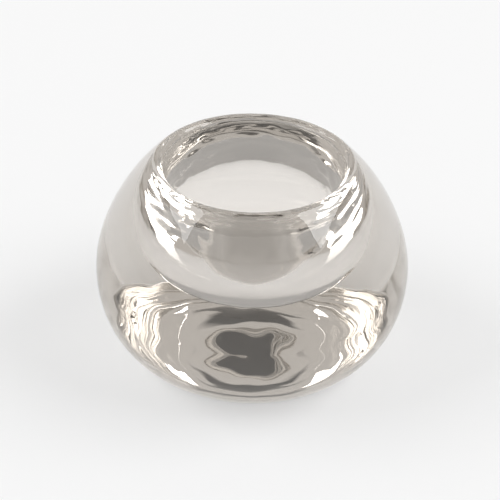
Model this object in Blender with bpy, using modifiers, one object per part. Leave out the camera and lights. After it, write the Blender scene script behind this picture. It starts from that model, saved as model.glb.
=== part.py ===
"""Globe tealight holder: one thick body of clear glass, turned about its upright axis.

Outside it is a squat globe on a flat base. A round well, open at the top, takes a tealight, and a
rounded rim joins the wall of the well to the shoulder of the globe. Lengths are in metres, +Z is up
and the origin is the middle of the base.
"""
import math

import bpy
from mathutils import Vector
from mathutils.geometry import interpolate_bezier

# Driving sizes of the globe
GLOBE_RADIUS = 0.0380      # outside, at the widest circle
WIDEST_HEIGHT = 0.0217     # of the widest circle, above the table
BASE_RADIUS = 0.0277       # of the flat that it stands on
FOOT_SLOPE = math.radians(37.5)     # of the belly where it leaves the table

# Driving sizes of the well and its rim
FLOOR_THICKNESS = 0.0218   # solid glass between the table and the floor of the well
WELL_DEPTH = 0.0286        # from the top of the rim to the floor of the well
WELL_RADIUS = 0.0216       # of the upright wall
CORNER_RISE = 0.0141       # height of the oval curve that turns the wall in to the floor
CORNER_RUN = 0.0073        # width of that curve
RIM_ROUND = 0.0016         # radius of the rim's section
SHOULDER_SLOPE = math.radians(48)   # how far the glass faces up where the shoulder meets the rim

# Fullness of the curves: the part of its own rise or run that each pull takes
FOOT_PULL = 0.48           # up along the foot's slope, from the edge of the base
BELLY_PULL_BELOW = 0.573   # straight down from the widest circle
BELLY_PULL_ABOVE = 0.37    # straight up from the widest circle
SHOULDER_PULL = 0.65       # back down the shoulder, from the rim
WALL_PULL = 0.485          # straight down from the foot of the well's upright wall
FLOOR_PULL = 0.81          # out along the well's floor, from the edge of its flat

# Fineness of the turned surface
TURN_STEPS = 64
CURVE_POINTS = 12          # on each curve
RIM_STEPS = 10

# Clear glass, with the faint warm grey that it has in the round
GLASS_COLOUR = (0.94, 0.935, 0.92, 1.0)
GLASS_ROUGHNESS = 0.02
GLASS_INDEX = 1.53

MERGE_DISTANCE = 0.00001
HALF_TURN = math.pi
QUARTER_TURN = math.pi / 2


def facing(angle):
    """Unit vector in the section plane that faces out at this angle above the level."""
    return Vector((math.cos(angle), 0.0, math.sin(angle)))


def arc(centre, radius, start, end, steps):
    """Points round part of a circle in the section plane, both ends included."""
    points = []
    for step in range(steps + 1):
        angle = start + (end - start) * step / steps
        points.append(centre + radius * facing(angle))
    return points


def rim_centre():
    """Middle of the round section that runs round the mouth."""
    return Vector((WELL_RADIUS + RIM_ROUND, 0.0, FLOOR_THICKNESS + WELL_DEPTH - RIM_ROUND))


def rim_section():
    """Over the rim, from the wall of the well to the shoulder."""
    return arc(rim_centre(), RIM_ROUND, HALF_TURN, SHOULDER_SLOPE, RIM_STEPS)


def well_section():
    """Floor of the well, from its middle, and the oval corner that turns it up into the wall."""
    floor_middle = Vector((0.0, 0.0, FLOOR_THICKNESS))
    floor_edge = Vector((WELL_RADIUS - CORNER_RUN, 0.0, FLOOR_THICKNESS))
    wall_foot = Vector((WELL_RADIUS, 0.0, FLOOR_THICKNESS + CORNER_RISE))
    floor_pull = floor_edge + Vector((FLOOR_PULL * CORNER_RUN, 0.0, 0.0))
    wall_pull = wall_foot - Vector((0.0, 0.0, WALL_PULL * CORNER_RISE))
    return [floor_middle] + interpolate_bezier(floor_edge, floor_pull, wall_pull, wall_foot, CURVE_POINTS)


def shoulder_section():
    """From the rim down to the widest circle."""
    top = rim_section()[-1]
    widest = Vector((GLOBE_RADIUS, 0.0, WIDEST_HEIGHT))
    down_shoulder = facing(SHOULDER_SLOPE - QUARTER_TURN)
    shoulder_pull = top + down_shoulder * SHOULDER_PULL * (widest.x - top.x)
    belly_pull = widest + Vector((0.0, 0.0, BELLY_PULL_ABOVE * (top.z - widest.z)))
    return interpolate_bezier(top, shoulder_pull, belly_pull, widest, CURVE_POINTS)


def belly_section():
    """From the widest circle down to the edge of the base."""
    widest = Vector((GLOBE_RADIUS, 0.0, WIDEST_HEIGHT))
    foot = Vector((BASE_RADIUS, 0.0, 0.0))
    belly_pull = widest - Vector((0.0, 0.0, BELLY_PULL_BELOW * WIDEST_HEIGHT))
    foot_pull = foot + facing(FOOT_SLOPE) * FOOT_PULL * (GLOBE_RADIUS - BASE_RADIUS)
    return interpolate_bezier(widest, belly_pull, foot_pull, foot, CURVE_POINTS)


def glass_section():
    """Half of the section: from the middle of the well's floor, over the rim, to under the base."""
    base_middle = Vector((0.0, 0.0, 0.0))
    outside = shoulder_section()[1:] + belly_section()[1:]
    return well_section() + rim_section() + outside + [base_middle]


def clear_glass():
    """Material of the body."""
    material = bpy.data.materials.new("clear_glass")
    material.use_nodes = True
    shader = material.node_tree.nodes["Principled BSDF"]
    shader.inputs["Base Color"].default_value = GLASS_COLOUR
    shader.inputs["Roughness"].default_value = GLASS_ROUGHNESS
    shader.inputs["Metallic"].default_value = 0.0
    shader.inputs["IOR"].default_value = GLASS_INDEX
    shader.inputs["Transmission Weight"].default_value = 1.0
    return material


def turned_piece(name, section, material, collection):
    """Turn a section about the upright axis into one closed, smooth piece."""
    mesh = bpy.data.meshes.new(name)
    edges = [(point, point + 1) for point in range(len(section) - 1)]
    mesh.from_pydata(section, edges, [])
    mesh.materials.append(material)
    piece = bpy.data.objects.new(name, mesh)
    collection.objects.link(piece)
    screw = piece.modifiers.new("turn", "SCREW")
    screw.axis = "Z"
    screw.angle = 2.0 * math.pi
    screw.steps = TURN_STEPS
    screw.render_steps = TURN_STEPS
    screw.use_smooth_shade = True
    screw.use_merge_vertices = True
    screw.merge_threshold = MERGE_DISTANCE
    return piece


def clear_scene():
    """Start from an empty scene."""
    for old in list(bpy.data.objects):
        bpy.data.objects.remove(old, do_unlink=True)


def main():
    clear_scene()
    holder = bpy.data.collections.new("globe_tealight_holder")
    bpy.context.scene.collection.children.link(holder)
    turned_piece("glass_body", glass_section(), clear_glass(), holder)


main()
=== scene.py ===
"""Looks of the globe tealight holder: the fine glass body, and the stage that shows it.

The body is one thick piece of clear glass, turned about its upright axis. Lengths are in metres, +Z is
up and the origin is the middle of the base, as in the frame.
"""
import math

import bmesh
import bpy
from bpy.props import FloatProperty, FloatVectorProperty, IntProperty, PointerProperty
from mathutils import Matrix, Vector, noise
from mathutils.geometry import interpolate_bezier


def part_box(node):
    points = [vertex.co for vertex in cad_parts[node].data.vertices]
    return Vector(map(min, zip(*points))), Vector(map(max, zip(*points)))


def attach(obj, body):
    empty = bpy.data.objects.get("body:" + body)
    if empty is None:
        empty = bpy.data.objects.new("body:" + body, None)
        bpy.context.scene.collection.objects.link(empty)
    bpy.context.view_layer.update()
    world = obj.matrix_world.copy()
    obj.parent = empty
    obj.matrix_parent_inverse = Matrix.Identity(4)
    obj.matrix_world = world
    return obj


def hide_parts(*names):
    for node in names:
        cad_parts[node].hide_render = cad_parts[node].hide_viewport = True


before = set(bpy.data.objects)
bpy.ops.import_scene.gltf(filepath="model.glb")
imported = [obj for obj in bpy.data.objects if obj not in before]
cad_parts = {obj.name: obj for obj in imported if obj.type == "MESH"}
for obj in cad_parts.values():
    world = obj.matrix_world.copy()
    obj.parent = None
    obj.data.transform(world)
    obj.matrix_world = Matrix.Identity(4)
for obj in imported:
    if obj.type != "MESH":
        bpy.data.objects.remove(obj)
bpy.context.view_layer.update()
BODY_LOW, BODY_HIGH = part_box("glass_body")

bl_info = {
    "name": "Globe Tealight Holder",
    "version": (1, 0, 0),
    "blender": (4, 5, 0),
    "location": "3D View > Sidebar > Holder",
    "description": "Builds a clear glass tealight holder and a small photo stage for it",
    "category": "Add Mesh",
}

HALF_TURN = math.pi
QUARTER_TURN = math.pi / 2
FULL_TURN = 2.0 * math.pi
# Points that are nearer each other than this, in metres, are one point
MERGE_DISTANCE = 1e-6

# Sideways share of a direction from the axis, where the ripples begin and where they are full
RIPPLE_SIDE_START = 0.35
RIPPLE_SIDE_FULL = 0.75
# Step in the noise, one way for the right and the other for the left, so that their ripples differ
RIPPLE_SIDE_OFFSET = 4.0
# Seed of the drift that bends the ripples
RIPPLE_SEED = 3

# Sockets of a mix of two colours: its share, both colours and the result
MIX_SHARE = 0
MIX_FIRST = 6
MIX_SECOND = 7
MIX_RESULT = 2


class GlassBodySettings(bpy.types.PropertyGroup):
    """Sizes and finish of the glass body."""

    globe_radius: FloatProperty(
        name="Globe Radius", description="Outside radius at the widest circle",
        default=(BODY_HIGH.x - BODY_LOW.x) / 2.0, unit="LENGTH",
    )
    height: FloatProperty(
        name="Height", description="From the table to the top of the rim",
        default=BODY_HIGH.z - BODY_LOW.z, unit="LENGTH",
    )
    widest_height: FloatProperty(
        name="Widest Height", description="Height of the widest circle above the table",
        default=0.0217, unit="LENGTH",
    )
    base_radius: FloatProperty(
        name="Base Radius", description="Radius of the flat that the body stands on",
        default=0.0277, unit="LENGTH",
    )
    floor_thickness: FloatProperty(
        name="Floor Thickness", description="Glass between the table and the floor of the well",
        default=0.0218, unit="LENGTH",
    )
    well_radius: FloatProperty(
        name="Well Radius", description="Radius of the well's upright wall",
        default=0.0216, unit="LENGTH",
    )
    corner_rise: FloatProperty(
        name="Corner Rise", description="Height of the oval curve between wall and floor",
        default=0.0141, unit="LENGTH",
    )
    corner_run: FloatProperty(
        name="Corner Run", description="Width of the oval curve between wall and floor",
        default=0.0073, unit="LENGTH",
    )
    rim_round: FloatProperty(
        name="Rim Round", description="Radius of the rim's section",
        default=0.0016, unit="LENGTH",
    )
    shoulder_slope: FloatProperty(
        name="Shoulder Slope", description="How far the glass faces up where shoulder meets rim",
        default=math.radians(48), subtype="ANGLE",
    )
    foot_slope: FloatProperty(
        name="Foot Slope", description="Slope at which the belly leaves the table",
        default=math.radians(37.5), subtype="ANGLE",
    )
    foot_pull: FloatProperty(
        name="Foot Pull", description="Fullness of the belly at the base", default=0.48,
        subtype="FACTOR", min=0.0, max=1.0,
    )
    belly_pull_below: FloatProperty(
        name="Belly Pull Below", description="Fullness of the belly under the widest circle",
        default=0.573, subtype="FACTOR", min=0.0, max=1.0,
    )
    belly_pull_above: FloatProperty(
        name="Belly Pull Above", description="Fullness of the shoulder over the widest circle",
        default=0.37, subtype="FACTOR", min=0.0, max=1.0,
    )
    shoulder_pull: FloatProperty(
        name="Shoulder Pull", description="Fullness of the shoulder at the rim", default=0.65,
        subtype="FACTOR", min=0.0, max=1.0,
    )
    wall_pull: FloatProperty(
        name="Wall Pull", description="Fullness of the well's corner at its wall", default=0.485,
        subtype="FACTOR", min=0.0, max=1.0,
    )
    floor_pull: FloatProperty(
        name="Floor Pull", description="Fullness of the well's corner at its floor", default=0.81,
        subtype="FACTOR", min=0.0, max=1.0,
    )
    turn_steps: IntProperty(
        name="Turn Steps", description="Faces round the body", default=320, min=3,
    )
    curve_points: IntProperty(
        name="Curve Points", description="Points on each curve of the section", default=40, min=2,
    )
    wave_depth: FloatProperty(
        name="Wave Depth", description="Depth of the slow waves that the glass was left with",
        default=0.00003, unit="LENGTH",
    )
    wave_length: FloatProperty(
        name="Wave Length", description="Length of the slow waves", default=0.005, unit="LENGTH",
    )
    ripple_depth: FloatProperty(
        name="Ripple Depth", description="Depth of the ripples at both sides of the mouth",
        default=0.00034, unit="LENGTH",
    )
    ripple_length: FloatProperty(
        name="Ripple Length", description="Length of those ripples, round the wall", default=0.008,
        unit="LENGTH",
    )
    ripple_width: FloatProperty(
        name="Ripple Width", description="Width of those ripples, up the wall", default=0.0021,
        unit="LENGTH",
    )
    ripple_foot: FloatProperty(
        name="Ripple Foot", description="Height at which the ripples have died away",
        default=0.026, unit="LENGTH",
    )
    floor_ring_depth: FloatProperty(
        name="Floor Ring Depth", description="Depth of the faint rings on the floor of the well",
        default=0.00004, unit="LENGTH",
    )
    floor_ring_width: FloatProperty(
        name="Floor Ring Width", description="Width of those rings", default=0.0016, unit="LENGTH",
    )
    floor_ring_length: FloatProperty(
        name="Floor Ring Length", description="Length over which those rings fade and come again",
        default=0.010, unit="LENGTH",
    )
    streak_depth: FloatProperty(
        name="Streak Depth", description="Depth of the fine streaks that run round the rim",
        default=0.00006, unit="LENGTH",
    )
    streak_width: FloatProperty(
        name="Streak Width", description="Width of those streaks", default=0.0007, unit="LENGTH",
    )
    streak_length: FloatProperty(
        name="Streak Length", description="Length of those streaks", default=0.004, unit="LENGTH",
    )
    streak_reach: FloatProperty(
        name="Streak Reach", description="How far below the top of the rim the streaks begin",
        default=0.008, unit="LENGTH",
    )
    streak_full: FloatProperty(
        name="Streak Full", description="How far below the top of the rim they have their full depth",
        default=0.0032, unit="LENGTH",
    )
    flat_foot: FloatProperty(
        name="Flat Foot", description="Height up to which the waves have been ground away",
        default=0.004, unit="LENGTH",
    )
    glass_colour: FloatVectorProperty(
        name="Glass Colour", description="Tint of the light that comes through the surface",
        default=(0.95, 0.92, 0.885, 1.0), size=4, subtype="COLOR", min=0.0, max=1.0,
    )
    depth_colour: FloatVectorProperty(
        name="Depth Colour", description="Tint that thick glass takes on",
        default=(0.915, 0.908, 0.898, 1.0), size=4, subtype="COLOR", min=0.0, max=1.0,
    )
    depth_density: FloatProperty(
        name="Depth Density", description="How fast thick glass takes on its tint, per metre",
        default=44.0,
    )
    glass_index: FloatProperty(
        name="Glass Index", description="Refractive index of the glass", default=1.535,
    )


class StageSettings(bpy.types.PropertyGroup):
    """Floor, room, lights and camera."""

    floor_colour: FloatVectorProperty(
        name="Floor Colour", description="Colour of the table top",
        default=(0.92, 0.925, 0.93, 1.0), size=4, subtype="COLOR", min=0.0, max=1.0,
    )
    plain_white_share: FloatProperty(
        name="Plain White Share", description="Share of the table top that shows without shading",
        default=0.45, subtype="FACTOR", min=0.0, max=1.0,
    )
    floor_radius: FloatProperty(
        name="Floor Radius", description="Radius of the table top", default=6.0, unit="LENGTH",
    )
    floor_steps: IntProperty(
        name="Floor Steps", description="Sides of the table top", default=64, min=3,
    )
    floor_drop: FloatProperty(
        name="Floor Drop", description="Gap that keeps the base clear of the table top",
        default=0.0002, unit="LENGTH",
    )
    wall_colour: FloatVectorProperty(
        name="Wall Colour", description="Brightness and colour of the room's walls",
        default=(0.74, 0.727, 0.714, 1.0), size=4, subtype="COLOR", min=0.0, max=1.0,
    )
    dark_wall_colour: FloatVectorProperty(
        name="Dark Wall Colour", description="Brightness and colour of the wall high behind the camera",
        default=(0.12, 0.117, 0.114, 1.0), size=4, subtype="COLOR", min=0.0, max=1.0,
    )
    dark_wall_azimuth: FloatVectorProperty(
        name="Dark Wall Azimuth", description="Where that wall begins and is full, on both sides",
        default=(math.radians(154), math.radians(160)), size=2, unit="ROTATION",
    )
    dark_wall_elevation: FloatVectorProperty(
        name="Dark Wall Elevation", description="Where that wall begins and is full, going up",
        default=(math.radians(33), math.radians(38)), size=2, unit="ROTATION",
    )
    ceiling_colour: FloatVectorProperty(
        name="Ceiling Colour", description="Brightness and colour of the room's ceiling",
        default=(0.12, 0.117, 0.114, 1.0), size=4, subtype="COLOR", min=0.0, max=1.0,
    )
    ceiling_elevation: FloatVectorProperty(
        name="Ceiling Elevation", description="Where the ceiling begins and is full, going up",
        default=(math.radians(57), math.radians(60)), size=2, unit="ROTATION",
    )
    light_distance: FloatProperty(
        name="Light Distance", description="From the axis of the body to the plane of each light",
        default=1.0, unit="LENGTH",
    )
    softbox_azimuth: FloatProperty(
        name="Softbox Azimuth", description="Direction of the softbox's plane from the body",
        default=math.radians(92), subtype="ANGLE",
    )
    softbox_sides: FloatVectorProperty(
        name="Softbox Sides", description="Both ends of the softbox, along it from its nearest point",
        default=(-0.62, 0.50), size=2, unit="LENGTH",
    )
    softbox_heights: FloatVectorProperty(
        name="Softbox Heights", description="Lower and upper edge of the softbox, above the table",
        default=(0.66, 1.50), size=2, unit="LENGTH",
    )
    softbox_brightness: FloatProperty(
        name="Softbox Brightness", description="Watts per square metre of the softbox, over pi",
        default=4.7,
    )
    reflector_azimuth: FloatProperty(
        name="Reflector Azimuth", description="Direction of the reflector's plane from the body",
        default=math.radians(-92), subtype="ANGLE",
    )
    reflector_sides: FloatVectorProperty(
        name="Reflector Sides", description="Both ends of the reflector, measured in the same way",
        default=(-0.50, 0.62), size=2, unit="LENGTH",
    )
    reflector_heights: FloatVectorProperty(
        name="Reflector Heights", description="Lower and upper edge of the reflector, above the table",
        default=(0.66, 1.40), size=2, unit="LENGTH",
    )
    reflector_brightness: FloatProperty(
        name="Reflector Brightness", description="Watts per square metre of the reflector, over pi",
        default=3.8,
    )
    light_bounces: IntProperty(
        name="Light Bounces", description="How often light may turn in the glass", default=24, min=0,
    )
    camera_middle: FloatProperty(
        name="Camera Middle", description="Height of the point that the camera stands off from",
        default=0.0228, unit="LENGTH",
    )
    camera_elevation: FloatProperty(
        name="Camera Elevation", description="Angle of the camera above the level of that point",
        default=math.radians(33.43), subtype="ANGLE",
    )
    camera_distance: FloatProperty(
        name="Camera Distance", description="From that point to the camera",
        default=0.4168, unit="LENGTH",
    )
    camera_aim: FloatVectorProperty(
        name="Camera Aim", description="Point that the camera looks at",
        default=(-0.00058, 0.0, 0.0255), size=3, subtype="TRANSLATION", unit="LENGTH",
    )
    camera_roll: FloatProperty(
        name="Camera Roll", description="Tilt of the camera about its own axis",
        default=0.0197, subtype="ANGLE",
    )
    lens: FloatProperty(
        name="Lens", description="Focal length in millimetres on a 36 mm sensor", default=122.9,
        unit="CAMERA",
    )


def facing(angle):
    """Unit vector in the section plane that faces out at this angle above the level."""
    return Vector((math.cos(angle), 0.0, math.sin(angle)))


def arc(centre, radius, start, end, steps):
    """Points round part of a circle in the section plane, both ends included."""
    points = []
    for step in range(steps + 1):
        angle = start + (end - start) * step / steps
        points.append(centre + radius * facing(angle))
    return points


def straight(start, end, steps):
    """Points on a straight run, without its end."""
    return [start.lerp(end, step / steps) for step in range(steps)]


def well_section(body):
    """Floor of the well, from its middle, the oval corner that turns it up, and the upright wall."""
    floor_middle = Vector((0.0, 0.0, body.floor_thickness))
    floor_edge = Vector((body.well_radius - body.corner_run, 0.0, body.floor_thickness))
    wall_foot = Vector((body.well_radius, 0.0, body.floor_thickness + body.corner_rise))
    floor_pull = floor_edge + Vector((body.floor_pull * body.corner_run, 0.0, 0.0))
    wall_pull = wall_foot - Vector((0.0, 0.0, body.wall_pull * body.corner_rise))
    corner = interpolate_bezier(floor_edge, floor_pull, wall_pull, wall_foot, body.curve_points)
    wall_top = Vector((body.well_radius, 0.0, body.height - body.rim_round))
    floor = straight(floor_middle, floor_edge, body.curve_points)
    wall = straight(wall_foot, wall_top, body.curve_points)
    return floor + corner + wall[1:]


def rim_section(body):
    """Over the rim, from the wall of the well to the shoulder."""
    centre = Vector((body.well_radius + body.rim_round, 0.0, body.height - body.rim_round))
    return arc(centre, body.rim_round, HALF_TURN, body.shoulder_slope, body.curve_points)


def shoulder_section(body):
    """From the rim down to the widest circle."""
    top = rim_section(body)[-1]
    widest = Vector((body.globe_radius, 0.0, body.widest_height))
    down_shoulder = facing(body.shoulder_slope - QUARTER_TURN)
    shoulder_pull = top + down_shoulder * body.shoulder_pull * (widest.x - top.x)
    belly_pull = widest + Vector((0.0, 0.0, body.belly_pull_above * (top.z - widest.z)))
    return interpolate_bezier(top, shoulder_pull, belly_pull, widest, body.curve_points)


def belly_section(body):
    """From the widest circle down to the edge of the base."""
    widest = Vector((body.globe_radius, 0.0, body.widest_height))
    foot = Vector((body.base_radius, 0.0, 0.0))
    belly_pull = widest - Vector((0.0, 0.0, body.belly_pull_below * body.widest_height))
    foot_pull = foot + facing(body.foot_slope) * body.foot_pull * (body.globe_radius - body.base_radius)
    return interpolate_bezier(widest, belly_pull, foot_pull, foot, body.curve_points)


def glass_section(body):
    """Half of the section: from the middle of the well's floor, over the rim, to under the base."""
    base_middle = Vector((0.0, 0.0, 0.0))
    outside = shoulder_section(body)[1:] + belly_section(body)[1:]
    return well_section(body) + rim_section(body) + outside + [base_middle]


def turned_mesh(name, section, steps):
    """Turn a section about the upright axis into one closed mesh, smooth but for its flat base."""
    mesh = bpy.data.meshes.new(name)
    bm = bmesh.new()
    points = [bm.verts.new(point) for point in section]
    edges = [bm.edges.new(pair) for pair in zip(points, points[1:])]
    bmesh.ops.spin(
        bm, geom=points + edges, cent=(0.0, 0.0, 0.0), axis=(0.0, 0.0, 1.0),
        angle=FULL_TURN, steps=steps, use_merge=True,
    )
    bmesh.ops.remove_doubles(bm, verts=bm.verts, dist=MERGE_DISTANCE)
    bmesh.ops.recalc_face_normals(bm, faces=bm.faces)
    for face in bm.faces:
        face.smooth = any(vertex.co.z > MERGE_DISTANCE for vertex in face.verts)
    bm.to_mesh(mesh)
    bm.free()
    return mesh


def smooth_step(low, high, value):
    """0 up to low, 1 from high, and a smooth rise between them."""
    part = min(max((value - low) / (high - low), 0.0), 1.0)
    return part * part * (3.0 - 2.0 * part)


def waves(point, body):
    """Slow waves all over, apart from the ground foot."""
    share = smooth_step(0.0, body.flat_foot, point.z)
    return body.wave_depth * share * noise.noise(point / body.wave_length)


def ripples(point, body):
    """Ripples inside the mouth, at its left and right."""
    radius = point.xy.length
    rise = smooth_step(body.ripple_foot, body.height - body.rim_round, point.z)
    inside = 1.0 - smooth_step(body.well_radius, body.well_radius + body.rim_round, radius)
    if rise * inside == 0.0:
        return 0.0
    side = smooth_step(RIPPLE_SIDE_START, RIPPLE_SIDE_FULL, abs(point.x) / radius)
    around = math.atan2(point.y, abs(point.x)) * body.well_radius / body.ripple_length
    apart = math.copysign(RIPPLE_SIDE_OFFSET, point.x)
    place = Vector((around, point.z / body.ripple_width, apart))
    drift = noise.noise_vector(point / body.ripple_length)
    return body.ripple_depth * rise * inside * side * noise.noise(place + drift)


def floor_rings(point, body):
    """Faint broken rings on the floor of the well and its corner."""
    radius = point.xy.length
    if point.z < body.floor_thickness - MERGE_DISTANCE or radius > body.well_radius:
        return 0.0
    share = 1.0 - smooth_step(body.floor_thickness, body.floor_thickness + body.corner_rise, point.z)
    slow = point.xy / body.floor_ring_length
    place = Vector((slow.x, slow.y, radius / body.floor_ring_width))
    return body.floor_ring_depth * share * noise.noise(place)


def streaks(point, body):
    """Fine streaks round the rim."""
    share = smooth_step(body.height - body.streak_reach, body.height - body.streak_full, point.z)
    if share == 0.0:
        return 0.0
    along = point.xy.normalized() * body.well_radius / body.streak_length
    across = (point.xy.length + point.z) / body.streak_width
    place = Vector((along.x, along.y, across))
    return body.streak_depth * share * noise.noise(place)


def unevenness(point, body):
    """How far the glass stands out or in at this point."""
    return waves(point, body) + ripples(point, body) + floor_rings(point, body) + streaks(point, body)


def hand_made(mesh, body):
    """Give a smooth mesh the slight unevenness of hand-made glass, the same at every build."""
    noise.seed_set(RIPPLE_SEED)
    places = [vertex.co + vertex.normal * unevenness(vertex.co, body) for vertex in mesh.vertices]
    for vertex, place in zip(mesh.vertices, places):
        vertex.co = place


def clear_glass(body):
    """Clear glass that takes on a tint where it is thick."""
    material = bpy.data.materials.new("clear_glass")
    material.use_nodes = True
    nodes = material.node_tree.nodes
    shader = nodes["Principled BSDF"]
    shader.inputs["Base Color"].default_value = body.glass_colour
    shader.inputs["Roughness"].default_value = 0.0
    shader.inputs["IOR"].default_value = body.glass_index
    shader.inputs["Transmission Weight"].default_value = 1.0
    depth = nodes.new("ShaderNodeVolumeAbsorption")
    depth.inputs["Color"].default_value = body.depth_colour
    depth.inputs["Density"].default_value = body.depth_density
    material.node_tree.links.new(depth.outputs["Volume"], nodes["Material Output"].inputs["Volume"])
    return material


class HOLDER_OT_glass_body(bpy.types.Operator):
    """Build the glass body in place of its plain solid"""

    bl_idname = "holder.glass_body"
    bl_label = "Glass Body"

    def execute(self, context):
        body = context.scene.holder_glass_body
        mesh = turned_mesh("globe_glass", glass_section(body), body.turn_steps)
        hand_made(mesh, body)
        mesh.materials.append(clear_glass(body))
        piece = bpy.data.objects.new("globe_glass", mesh)
        context.collection.objects.link(piece)
        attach(piece, "root")
        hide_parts("glass_body")
        return {"FINISHED"}


def math_node(nodes, operation):
    """Node that does this one operation on its values."""
    node = nodes.new("ShaderNodeMath")
    node.operation = operation
    return node


def rise_node(nodes, low, high):
    """Node that gives 0 up to low, 1 from high, and a straight rise between them."""
    node = nodes.new("ShaderNodeMapRange")
    node.inputs["From Min"].default_value = low
    node.inputs["From Max"].default_value = high
    return node


def colour_mix_node(nodes):
    """Node that mixes two colours."""
    node = nodes.new("ShaderNodeMix")
    node.data_type = "RGBA"
    return node


def floor_finish(stage):
    """Pale matte finish, partly without shading to the eye, in reflections and through glass."""
    material = bpy.data.materials.new("floor")
    material.use_nodes = True
    nodes = material.node_tree.nodes
    links = material.node_tree.links
    matte = nodes["Principled BSDF"]
    matte.inputs["Base Color"].default_value = stage.floor_colour
    matte.inputs["Roughness"].default_value = 1.0
    matte.inputs["Specular IOR Level"].default_value = 0.0
    plain = nodes.new("ShaderNodeEmission")
    plain.inputs["Color"].default_value = stage.floor_colour
    light_path = nodes.new("ShaderNodeLightPath")
    by_way_of_glass = math_node(nodes, "MAXIMUM")
    seen = math_node(nodes, "MAXIMUM")
    share = math_node(nodes, "MULTIPLY")
    share.inputs[1].default_value = stage.plain_white_share
    both = nodes.new("ShaderNodeMixShader")
    links.new(light_path.outputs["Is Glossy Ray"], by_way_of_glass.inputs[0])
    links.new(light_path.outputs["Is Transmission Ray"], by_way_of_glass.inputs[1])
    links.new(light_path.outputs["Is Camera Ray"], seen.inputs[0])
    links.new(by_way_of_glass.outputs["Value"], seen.inputs[1])
    links.new(seen.outputs["Value"], share.inputs[0])
    links.new(share.outputs["Value"], both.inputs["Fac"])
    links.new(matte.outputs["BSDF"], both.inputs[1])
    links.new(plain.outputs["Emission"], both.inputs[2])
    links.new(both.outputs["Shader"], nodes["Material Output"].inputs["Surface"])
    return material


def lay_floor(context, stage):
    """Round floor, just clear of the base."""
    mesh = bpy.data.meshes.new("floor")
    bm = bmesh.new()
    bmesh.ops.create_circle(bm, cap_ends=True, segments=stage.floor_steps, radius=stage.floor_radius)
    bm.to_mesh(mesh)
    bm.free()
    mesh.materials.append(floor_finish(stage))
    floor = bpy.data.objects.new("floor", mesh)
    floor.location.z = -stage.floor_drop
    context.collection.objects.link(floor)


def room(stage):
    """Room round the stage: pale walls, dark high up behind the camera, and a dark ceiling."""
    world = bpy.data.worlds.new("room")
    world.use_nodes = True
    nodes = world.node_tree.nodes
    links = world.node_tree.links
    coordinates = nodes.new("ShaderNodeTexCoord")
    split = nodes.new("ShaderNodeSeparateXYZ")
    azimuth = math_node(nodes, "ARCTAN2")
    from_back = math_node(nodes, "ABSOLUTE")
    behind_camera = rise_node(nodes, *stage.dark_wall_azimuth)
    high = rise_node(nodes, *[math.sin(angle) for angle in stage.dark_wall_elevation])
    dark = math_node(nodes, "MULTIPLY")
    wall = colour_mix_node(nodes)
    wall.inputs[MIX_FIRST].default_value = stage.wall_colour
    wall.inputs[MIX_SECOND].default_value = stage.dark_wall_colour
    overhead = rise_node(nodes, *[math.sin(angle) for angle in stage.ceiling_elevation])
    whole = colour_mix_node(nodes)
    whole.inputs[MIX_SECOND].default_value = stage.ceiling_colour
    links.new(coordinates.outputs["Generated"], split.inputs["Vector"])
    links.new(split.outputs["X"], azimuth.inputs[0])
    links.new(split.outputs["Y"], azimuth.inputs[1])
    links.new(azimuth.outputs["Value"], from_back.inputs[0])
    links.new(from_back.outputs["Value"], behind_camera.inputs["Value"])
    links.new(split.outputs["Z"], high.inputs["Value"])
    links.new(behind_camera.outputs["Result"], dark.inputs[0])
    links.new(high.outputs["Result"], dark.inputs[1])
    links.new(dark.outputs["Value"], wall.inputs[MIX_SHARE])
    links.new(split.outputs["Z"], overhead.inputs["Value"])
    links.new(overhead.outputs["Result"], whole.inputs[MIX_SHARE])
    links.new(wall.outputs[MIX_RESULT], whole.inputs[MIX_FIRST])
    links.new(whole.outputs[MIX_RESULT], nodes["Background"].inputs["Color"])
    return world


def sky_point(azimuth, elevation, distance):
    """Point in that direction: azimuth 0 is away from the camera, and it grows to the right."""
    level = math.cos(elevation)
    return distance * Vector((math.sin(azimuth) * level, math.cos(azimuth) * level, math.sin(elevation)))


def upright_light(context, name, azimuth, distance, sides, heights, brightness):
    """Upright flat light. Its sides are measured along it, from the point that is nearest the axis."""
    lamp = bpy.data.lights.new(name, "AREA")
    lamp.shape = "RECTANGLE"
    lamp.size = sides[1] - sides[0]
    lamp.size_y = heights[1] - heights[0]
    lamp.energy = brightness * math.pi * lamp.size * lamp.size_y
    outward = sky_point(azimuth, 0.0, distance)
    along = sky_point(azimuth + QUARTER_TURN, 0.0, 1.0)
    place = outward + along * sum(sides) / 2.0 + Vector((0.0, 0.0, sum(heights) / 2.0))
    light = bpy.data.objects.new(name, lamp)
    light.matrix_world = Matrix.LocRotScale(place, (-outward).to_track_quat("-Z", "Y"), None)
    context.collection.objects.link(light)


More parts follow.
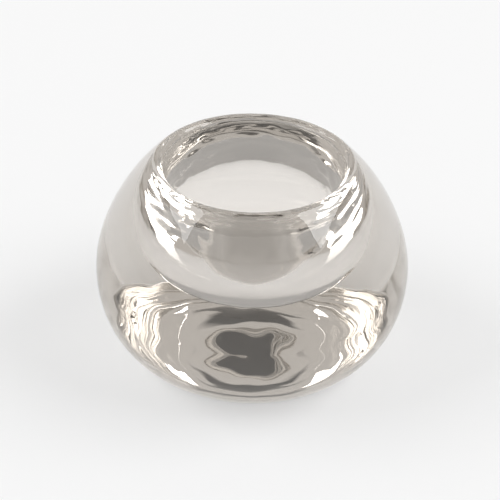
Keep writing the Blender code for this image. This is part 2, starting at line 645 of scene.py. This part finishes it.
def set_camera(context, stage):
    """Camera in front of the body and above it, looking down."""
    data = bpy.data.cameras.new("camera")
    data.lens = stage.lens
    camera = bpy.data.objects.new("camera", data)
    middle = Vector((0.0, 0.0, stage.camera_middle))
    place = middle + sky_point(HALF_TURN, stage.camera_elevation, stage.camera_distance)
    look = (Vector(stage.camera_aim) - place).to_track_quat("-Z", "Y")
    roll = Matrix.Rotation(stage.camera_roll, 4, "Z")
    camera.matrix_world = Matrix.LocRotScale(place, look, None) @ roll
    context.collection.objects.link(camera)
    context.scene.camera = camera


class HOLDER_OT_stage(bpy.types.Operator):
    """Lay the floor and set up the room, the lights and the camera"""

    bl_idname = "holder.stage"
    bl_label = "Stage"

    def execute(self, context):
        scene = context.scene
        stage = scene.holder_stage
        lay_floor(context, stage)
        scene.world = room(stage)
        upright_light(
            context, "softbox", stage.softbox_azimuth, stage.light_distance,
            stage.softbox_sides, stage.softbox_heights, stage.softbox_brightness,
        )
        upright_light(
            context, "reflector", stage.reflector_azimuth, stage.light_distance,
            stage.reflector_sides, stage.reflector_heights, stage.reflector_brightness,
        )
        set_camera(context, stage)
        scene.view_settings.view_transform = "Standard"
        scene.cycles.max_bounces = stage.light_bounces
        scene.cycles.transmission_bounces = stage.light_bounces
        scene.cycles.glossy_bounces = stage.light_bounces
        return {"FINISHED"}


class HOLDER_PT_panel(bpy.types.Panel):
    """Buttons and settings of the holder"""

    bl_idname = "HOLDER_PT_panel"
    bl_label = "Globe Tealight Holder"
    bl_space_type = "VIEW_3D"
    bl_region_type = "UI"
    bl_category = "Holder"

    def draw(self, context):
        layout = self.layout
        for operator, settings in (
            (HOLDER_OT_glass_body, context.scene.holder_glass_body),
            (HOLDER_OT_stage, context.scene.holder_stage),
        ):
            layout.operator(operator.bl_idname)
            for name in settings.__annotations__:
                layout.prop(settings, name)


CLASSES = (
    GlassBodySettings,
    StageSettings,
    HOLDER_OT_glass_body,
    HOLDER_OT_stage,
    HOLDER_PT_panel,
)


def register():
    for cls in CLASSES:
        bpy.utils.register_class(cls)
    bpy.types.Scene.holder_glass_body = PointerProperty(type=GlassBodySettings)
    bpy.types.Scene.holder_stage = PointerProperty(type=StageSettings)


def unregister():
    del bpy.types.Scene.holder_stage
    del bpy.types.Scene.holder_glass_body
    for cls in reversed(CLASSES):
        bpy.utils.unregister_class(cls)


def main():
    register()
    bpy.ops.holder.glass_body()
    bpy.ops.holder.stage()


if __name__ == "__main__":
    main()
